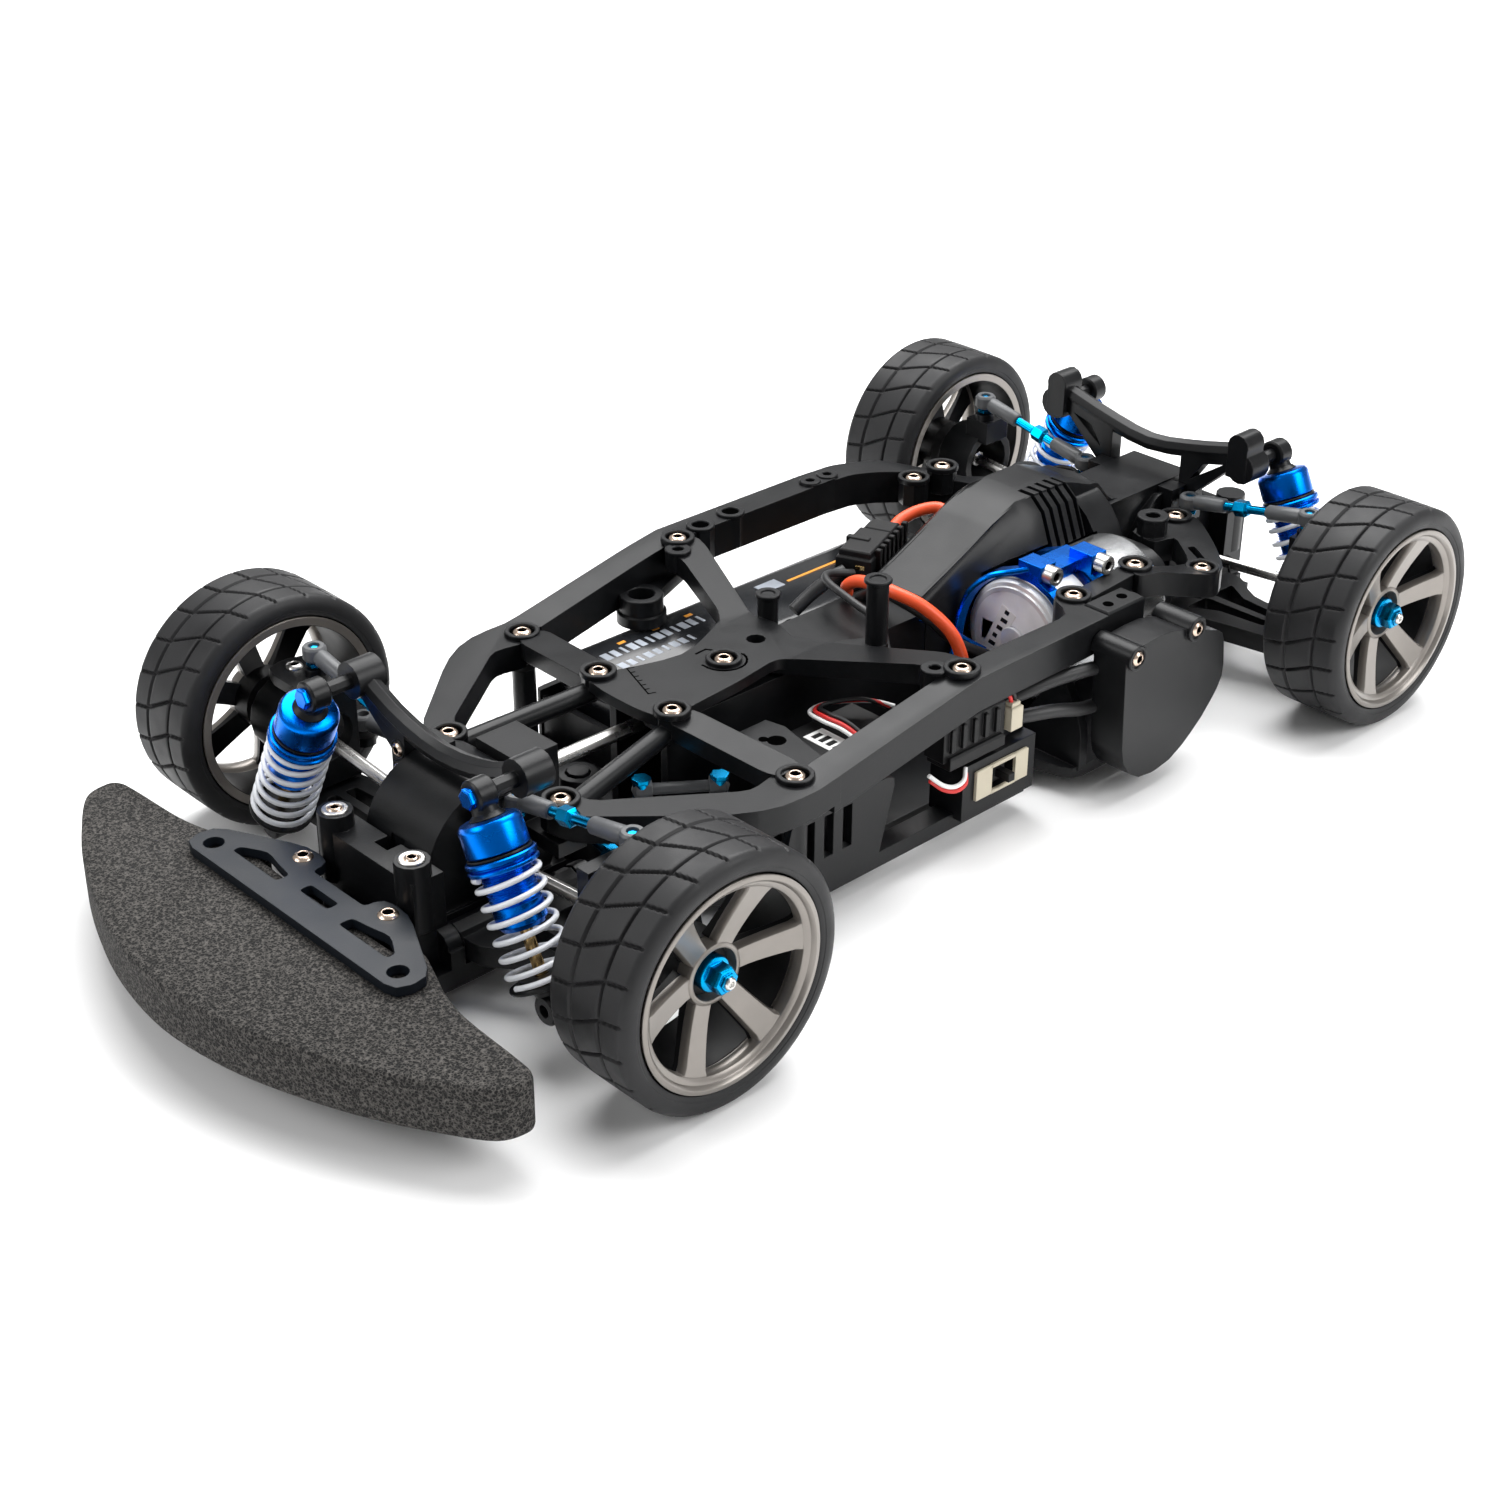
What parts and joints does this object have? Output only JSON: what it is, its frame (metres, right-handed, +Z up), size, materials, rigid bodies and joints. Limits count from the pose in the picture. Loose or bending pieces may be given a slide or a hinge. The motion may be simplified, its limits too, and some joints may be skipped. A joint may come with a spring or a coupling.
{
  "type": "radio-controlled touring car chassis",
  "caption": "Four-wheel-drive electric model car chassis without body shell, with working suspension, steering, spinning wheels and foam front bumper.",
  "frame": {"origin": "middle of the car's footprint, on the ground under the tyres", "axes": "+X to the car's left side, -Y towards its front bumper, +Z up"},
  "size_m": [0.1928, 0.374, 0.0696],
  "materials": {
    "black_plastic": "satin moulded nylon",
    "grey_plastic": "satin moulded nylon, grey",
    "blue_metal": "blue anodised",
    "steel": "bright machined",
    "rim_plastic": "titanium-coloured satin",
    "tyre": "matt rubber with moulded tread",
    "white_spring": "white powder coat",
    "charcoal_foam": "open-cell foam",
    "brace_plastic": "satin fibre-filled plate",
    "motor_can": "bright plated",
    "battery_film": "shrink film"
  },
  "bodies": {
    "chassis": {"lower_chassis": "black_plastic", "upper_deck": "black_plastic", "front_gearbox": "black_plastic", "rear_gearbox": "black_plastic", "front_damper_stay": "black_plastic", "rear_damper_stay": "black_plastic", "foam_bumper": "charcoal_foam", "bumper_brace": "brace_plastic", "motor": "motor_can", "motor_mount": "blue_metal", "motor_guard": "black_plastic", "battery_pack": "battery_film", "steering_servo": "black_plastic"},
    "steering_crank": {"steering_crank": "black_plastic"},
    "servo_horn": {"servo_horn": "black_plastic"},
    "drag_link": {"drag_link": "steel"},
    "prop_shaft": {"prop_shaft": "steel", "spur_gear": "grey_plastic"},
    "motor_pinion": {"motor_pinion": "steel"},
    "power_switch": {"power_switch": "black_plastic"},
    "front_left_arm": {"front_left_lower_arm": "black_plastic"},
    "front_left_hub_carrier": {"front_left_hub_carrier": "black_plastic"},
    "front_left_knuckle": {"front_left_knuckle": "black_plastic"},
    "front_left_tie_rod": {"front_left_tie_rod": "grey_plastic"},
    "front_left_wheel": {"front_left_rim": "rim_plastic", "front_left_tyre": "tyre"},
    "front_left_drive_shaft": {"front_left_drive_shaft": "steel"},
    "front_left_upper_link": {"front_left_upper_link": "grey_plastic"},
    "front_left_damper_body": {"front_left_damper_body": "blue_metal", "front_left_spring": "white_spring"},
    "front_left_damper_rod": {"front_left_damper_rod": "steel"},
    "front_right_arm": {"front_right_lower_arm": "black_plastic"},
    "front_right_hub_carrier": {"front_right_hub_carrier": "black_plastic"},
    "front_right_knuckle": {"front_right_knuckle": "black_plastic"},
    "front_right_tie_rod": {"front_right_tie_rod": "grey_plastic"},
    "front_right_wheel": {"front_right_rim": "rim_plastic", "front_right_tyre": "tyre"},
    "front_right_drive_shaft": {"front_right_drive_shaft": "steel"},
    "front_right_upper_link": {"front_right_upper_link": "grey_plastic"},
    "front_right_damper_body": {"front_right_damper_body": "blue_metal", "front_right_spring": "white_spring"},
    "front_right_damper_rod": {"front_right_damper_rod": "steel"},
    "rear_left_arm": {"rear_left_lower_arm": "black_plastic"},
    "rear_left_upright": {"rear_left_upright": "black_plastic"},
    "rear_left_wheel": {"rear_left_rim": "rim_plastic", "rear_left_tyre": "tyre"},
    "rear_left_drive_shaft": {"rear_left_drive_shaft": "steel"},
    "rear_left_upper_link": {"rear_left_upper_link": "grey_plastic"},
    "rear_left_damper_body": {"rear_left_damper_body": "blue_metal", "rear_left_spring": "white_spring"},
    "rear_left_damper_rod": {"rear_left_damper_rod": "steel"},
    "rear_right_arm": {"rear_right_lower_arm": "black_plastic"},
    "rear_right_upright": {"rear_right_upright": "black_plastic"},
    "rear_right_wheel": {"rear_right_rim": "rim_plastic", "rear_right_tyre": "tyre"},
    "rear_right_drive_shaft": {"rear_right_drive_shaft": "steel"},
    "rear_right_upper_link": {"rear_right_upper_link": "grey_plastic"},
    "rear_right_damper_body": {"rear_right_damper_body": "blue_metal", "rear_right_spring": "white_spring"},
    "rear_right_damper_rod": {"rear_right_damper_rod": "steel"}
  },
  "joints": [
    {"name": "steering", "type": "hinge", "parent": "chassis", "child": "steering_crank", "pos_m": [0, -0.06555, 0.025], "axis": [0, 0, -1], "range_deg": [-19, 19]},
    {"name": "servo_output", "type": "hinge", "parent": "chassis", "child": "servo_horn", "pos_m": [0.038, -0.04455, 0.025], "axis": [0, 0, 1], "range_deg": [-18, 18]},
    {"name": "drag_link_pivot", "type": "hinge", "parent": "steering_crank", "child": "drag_link", "pos_m": [0.016, -0.05855, 0.0294], "axis": [0, 0, 1], "range_deg": [-29, 29]},
    {"name": "front_left_arm_hinge", "type": "hinge", "parent": "chassis", "child": "front_left_arm", "pos_m": [0.019, -0.10205, 0.015], "axis": [0, -1, 0], "range_deg": [-6, 8], "stiffness_Nm_per_rad": 4, "springref_deg": -2.58},
    {"name": "front_left_outer_pin", "type": "hinge", "parent": "front_left_arm", "child": "front_left_hub_carrier", "pos_m": [0.065, -0.10205, 0.0145], "axis": [0, -1, 0], "range_deg": [-7, 6]},
    {"name": "front_left_kingpin", "type": "hinge", "parent": "front_left_hub_carrier", "child": "front_left_knuckle", "pos_m": [0.068, -0.10205, 0.0321], "axis": [0, 0, 1], "range_deg": [-16.4, 16.4]},
    {"name": "front_left_tie_rod_slide", "type": "slide", "parent": "front_left_arm", "child": "front_left_tie_rod", "axis": [-1, 0, 0], "range_m": [-0.0045, 0.0045]},
    {"name": "front_left_wheel_spin", "type": "hinge", "parent": "front_left_knuckle", "child": "front_left_wheel", "pos_m": [0.0838, -0.10205, 0.0321], "axis": [1, 0, 0], "continuous": true},
    {"name": "front_left_shaft_spin", "type": "hinge", "parent": "front_left_arm", "child": "front_left_drive_shaft", "pos_m": [0.04225, -0.10205, 0.02985], "axis": [0.9962, 0, 0.087], "continuous": true},
    {"name": "front_left_upper_link_hinge", "type": "hinge", "parent": "chassis", "child": "front_left_upper_link", "pos_m": [0.02, -0.10005, 0.045], "axis": [0, -1, 0], "range_deg": [-7, 9.2]},
    {"name": "front_left_damper_hinge", "type": "hinge", "parent": "chassis", "child": "front_left_damper_body", "pos_m": [0.032, -0.11955, 0.0595], "axis": [0, -1, 0], "range_deg": [-3, 3.5]},
    {"name": "front_left_damper_slide", "type": "slide", "parent": "front_left_damper_body", "child": "front_left_damper_rod", "axis": [0.4488, 0, -0.8936], "range_m": [-0.0052, 0.0041], "deforming": ["front_left_spring"]},
    {"name": "front_right_arm_hinge", "type": "hinge", "parent": "chassis", "child": "front_right_arm", "pos_m": [-0.019, -0.10205, 0.015], "axis": [0, 1, 0], "range_deg": [-6, 8], "stiffness_Nm_per_rad": 4, "springref_deg": -2.58},
    {"name": "front_right_outer_pin", "type": "hinge", "parent": "front_right_arm", "child": "front_right_hub_carrier", "pos_m": [-0.065, -0.10205, 0.0145], "axis": [0, 1, 0], "range_deg": [-7, 6]},
    {"name": "front_right_kingpin", "type": "hinge", "parent": "front_right_hub_carrier", "child": "front_right_knuckle", "pos_m": [-0.068, -0.10205, 0.0321], "axis": [0, 0, 1], "range_deg": [-16.4, 16.4]},
    {"name": "front_right_tie_rod_slide", "type": "slide", "parent": "front_right_arm", "child": "front_right_tie_rod", "axis": [-1, 0, 0], "range_m": [-0.0045, 0.0045]},
    {"name": "front_right_wheel_spin", "type": "hinge", "parent": "front_right_knuckle", "child": "front_right_wheel", "pos_m": [-0.0838, -0.10205, 0.0321], "axis": [1, 0, 0], "continuous": true},
    {"name": "front_right_shaft_spin", "type": "hinge", "parent": "front_right_arm", "child": "front_right_drive_shaft", "pos_m": [-0.04225, -0.10205, 0.02985], "axis": [0.9962, 0, -0.087], "continuous": true},
    {"name": "front_right_upper_link_hinge", "type": "hinge", "parent": "chassis", "child": "front_right_upper_link", "pos_m": [-0.02, -0.10005, 0.045], "axis": [0, 1, 0], "range_deg": [-7, 9.2]},
    {"name": "front_right_damper_hinge", "type": "hinge", "parent": "chassis", "child": "front_right_damper_body", "pos_m": [-0.032, -0.11955, 0.0595], "axis": [0, 1, 0], "range_deg": [-3, 3.5]},
    {"name": "front_right_damper_slide", "type": "slide", "parent": "front_right_damper_body", "child": "front_right_damper_rod", "axis": [-0.4488, 0, -0.8936], "range_m": [-0.0052, 0.0041], "deforming": ["front_right_spring"]},
    {"name": "rear_left_arm_hinge", "type": "hinge", "parent": "chassis", "child": "rear_left_arm", "pos_m": [0.019, 0.15495, 0.015], "axis": [0, -1, 0], "range_deg": [-6, 8], "stiffness_Nm_per_rad": 4, "springref_deg": -2.58},
    {"name": "rear_left_outer_pin", "type": "hinge", "parent": "rear_left_arm", "child": "rear_left_upright", "pos_m": [0.065, 0.15495, 0.0145], "axis": [0, -1, 0], "range_deg": [-7, 6]},
    {"name": "rear_left_wheel_spin", "type": "hinge", "parent": "rear_left_upright", "child": "rear_left_wheel", "pos_m": [0.0817, 0.15495, 0.0321], "axis": [1, 0, 0], "continuous": true},
    {"name": "rear_left_shaft_spin", "type": "hinge", "parent": "rear_left_arm", "child": "rear_left_drive_shaft", "pos_m": [0.04225, 0.15495, 0.02985], "axis": [0.9962, 0, 0.087], "continuous": true},
    {"name": "rear_left_upper_link_hinge", "type": "hinge", "parent": "chassis", "child": "rear_left_upper_link", "pos_m": [0.02, 0.15295, 0.045], "axis": [0, -1, 0], "range_deg": [-7, 9.2]},
    {"name": "rear_left_damper_hinge", "type": "hinge", "parent": "chassis", "child": "rear_left_damper_body", "pos_m": [0.035, 0.17245, 0.0594], "axis": [0, -1, 0], "range_deg": [-3, 3.5]},
    {"name": "rear_left_damper_slide", "type": "slide", "parent": "rear_left_damper_body", "child": "rear_left_damper_rod", "axis": [0.4338, 0, -0.901], "range_m": [-0.0052, 0.0041], "deforming": ["rear_left_spring"]},
    {"name": "rear_right_arm_hinge", "type": "hinge", "parent": "chassis", "child": "rear_right_arm", "pos_m": [-0.019, 0.15495, 0.015], "axis": [0, 1, 0], "range_deg": [-6, 8], "stiffness_Nm_per_rad": 4, "springref_deg": -2.58},
    {"name": "rear_right_outer_pin", "type": "hinge", "parent": "rear_right_arm", "child": "rear_right_upright", "pos_m": [-0.065, 0.15495, 0.0145], "axis": [0, 1, 0], "range_deg": [-7, 6]},
    {"name": "rear_right_wheel_spin", "type": "hinge", "parent": "rear_right_upright", "child": "rear_right_wheel", "pos_m": [-0.0817, 0.15495, 0.0321], "axis": [1, 0, 0], "continuous": true},
    {"name": "rear_right_shaft_spin", "type": "hinge", "parent": "rear_right_arm", "child": "rear_right_drive_shaft", "pos_m": [-0.04225, 0.15495, 0.02985], "axis": [0.9962, 0, -0.087], "continuous": true},
    {"name": "rear_right_upper_link_hinge", "type": "hinge", "parent": "chassis", "child": "rear_right_upper_link", "pos_m": [-0.02, 0.15295, 0.045], "axis": [0, 1, 0], "range_deg": [-7, 9.2]},
    {"name": "rear_right_damper_hinge", "type": "hinge", "parent": "chassis", "child": "rear_right_damper_body", "pos_m": [-0.035, 0.17245, 0.0594], "axis": [0, 1, 0], "range_deg": [-3, 3.5]},
    {"name": "rear_right_damper_slide", "type": "slide", "parent": "rear_right_damper_body", "child": "rear_right_damper_rod", "axis": [-0.4338, 0, -0.901], "range_m": [-0.0052, 0.0041], "deforming": ["rear_right_spring"]},
    {"name": "prop_spin", "type": "hinge", "parent": "chassis", "child": "prop_shaft", "pos_m": [0, 0.02645, 0.0365], "axis": [0, 1, 0], "continuous": true},
    {"name": "pinion_spin", "type": "hinge", "parent": "chassis", "child": "motor_pinion", "pos_m": [0.027, 0.11645, 0.031], "axis": [0, 1, 0], "continuous": true},
    {"name": "switch_slide", "type": "slide", "parent": "chassis", "child": "power_switch", "axis": [0, 1, 0], "range_m": [-0.0015, 0.0015]}
  ],
  "couplings": [
    {"joint": "servo_output", "follows": "steering", "ratio": 0.9263},
    {"joint": "drag_link_pivot", "follows": "steering", "ratio": 1.4938},
    {"joint": "front_left_outer_pin", "follows": "front_left_arm_hinge", "ratio": -0.7596},
    {"joint": "front_left_kingpin", "follows": "steering", "ratio": 0.8516},
    {"joint": "front_left_tie_rod_slide", "follows": "steering", "m_per_rad": 0.0132},
    {"joint": "front_left_wheel_spin", "follows": "rear_left_wheel_spin", "ratio": 1},
    {"joint": "front_left_shaft_spin", "follows": "rear_left_wheel_spin", "ratio": 1},
    {"joint": "front_left_upper_link_hinge", "follows": "front_left_arm_hinge", "ratio": 1.0943},
    {"joint": "front_left_damper_hinge", "follows": "front_left_arm_hinge", "ratio": 0.3379},
    {"joint": "front_left_damper_slide", "follows": "front_left_arm_hinge", "m_per_rad": -0.03159},
    {"joint": "front_right_outer_pin", "follows": "front_right_arm_hinge", "ratio": -0.7596},
    {"joint": "front_right_kingpin", "follows": "steering", "ratio": 0.8516},
    {"joint": "front_right_tie_rod_slide", "follows": "steering", "m_per_rad": 0.0132},
    {"joint": "front_right_wheel_spin", "follows": "rear_left_wheel_spin", "ratio": 1},
    {"joint": "front_right_shaft_spin", "follows": "rear_left_wheel_spin", "ratio": 1},
    {"joint": "front_right_upper_link_hinge", "follows": "front_right_arm_hinge", "ratio": 1.0943},
    {"joint": "front_right_damper_hinge", "follows": "front_right_arm_hinge", "ratio": 0.3379},
    {"joint": "front_right_damper_slide", "follows": "front_right_arm_hinge", "m_per_rad": -0.03159},
    {"joint": "rear_left_outer_pin", "follows": "rear_left_arm_hinge", "ratio": -0.7596},
    {"joint": "rear_left_shaft_spin", "follows": "rear_left_wheel_spin", "ratio": 1},
    {"joint": "rear_left_upper_link_hinge", "follows": "rear_left_arm_hinge", "ratio": 1.0943},
    {"joint": "rear_left_damper_hinge", "follows": "rear_left_arm_hinge", "ratio": 0.3481},
    {"joint": "rear_left_damper_slide", "follows": "rear_left_arm_hinge", "m_per_rad": -0.03368},
    {"joint": "rear_right_outer_pin", "follows": "rear_right_arm_hinge", "ratio": -0.7596},
    {"joint": "rear_right_wheel_spin", "follows": "rear_left_wheel_spin", "ratio": 1},
    {"joint": "rear_right_shaft_spin", "follows": "rear_left_wheel_spin", "ratio": 1},
    {"joint": "rear_right_upper_link_hinge", "follows": "rear_right_arm_hinge", "ratio": 1.0943},
    {"joint": "rear_right_damper_hinge", "follows": "rear_right_arm_hinge", "ratio": 0.3481},
    {"joint": "rear_right_damper_slide", "follows": "rear_right_arm_hinge", "m_per_rad": -0.03368},
    {"joint": "prop_spin", "follows": "rear_left_wheel_spin", "ratio": 2.6},
    {"joint": "pinion_spin", "follows": "rear_left_wheel_spin", "ratio": -5.3733}
  ]
}
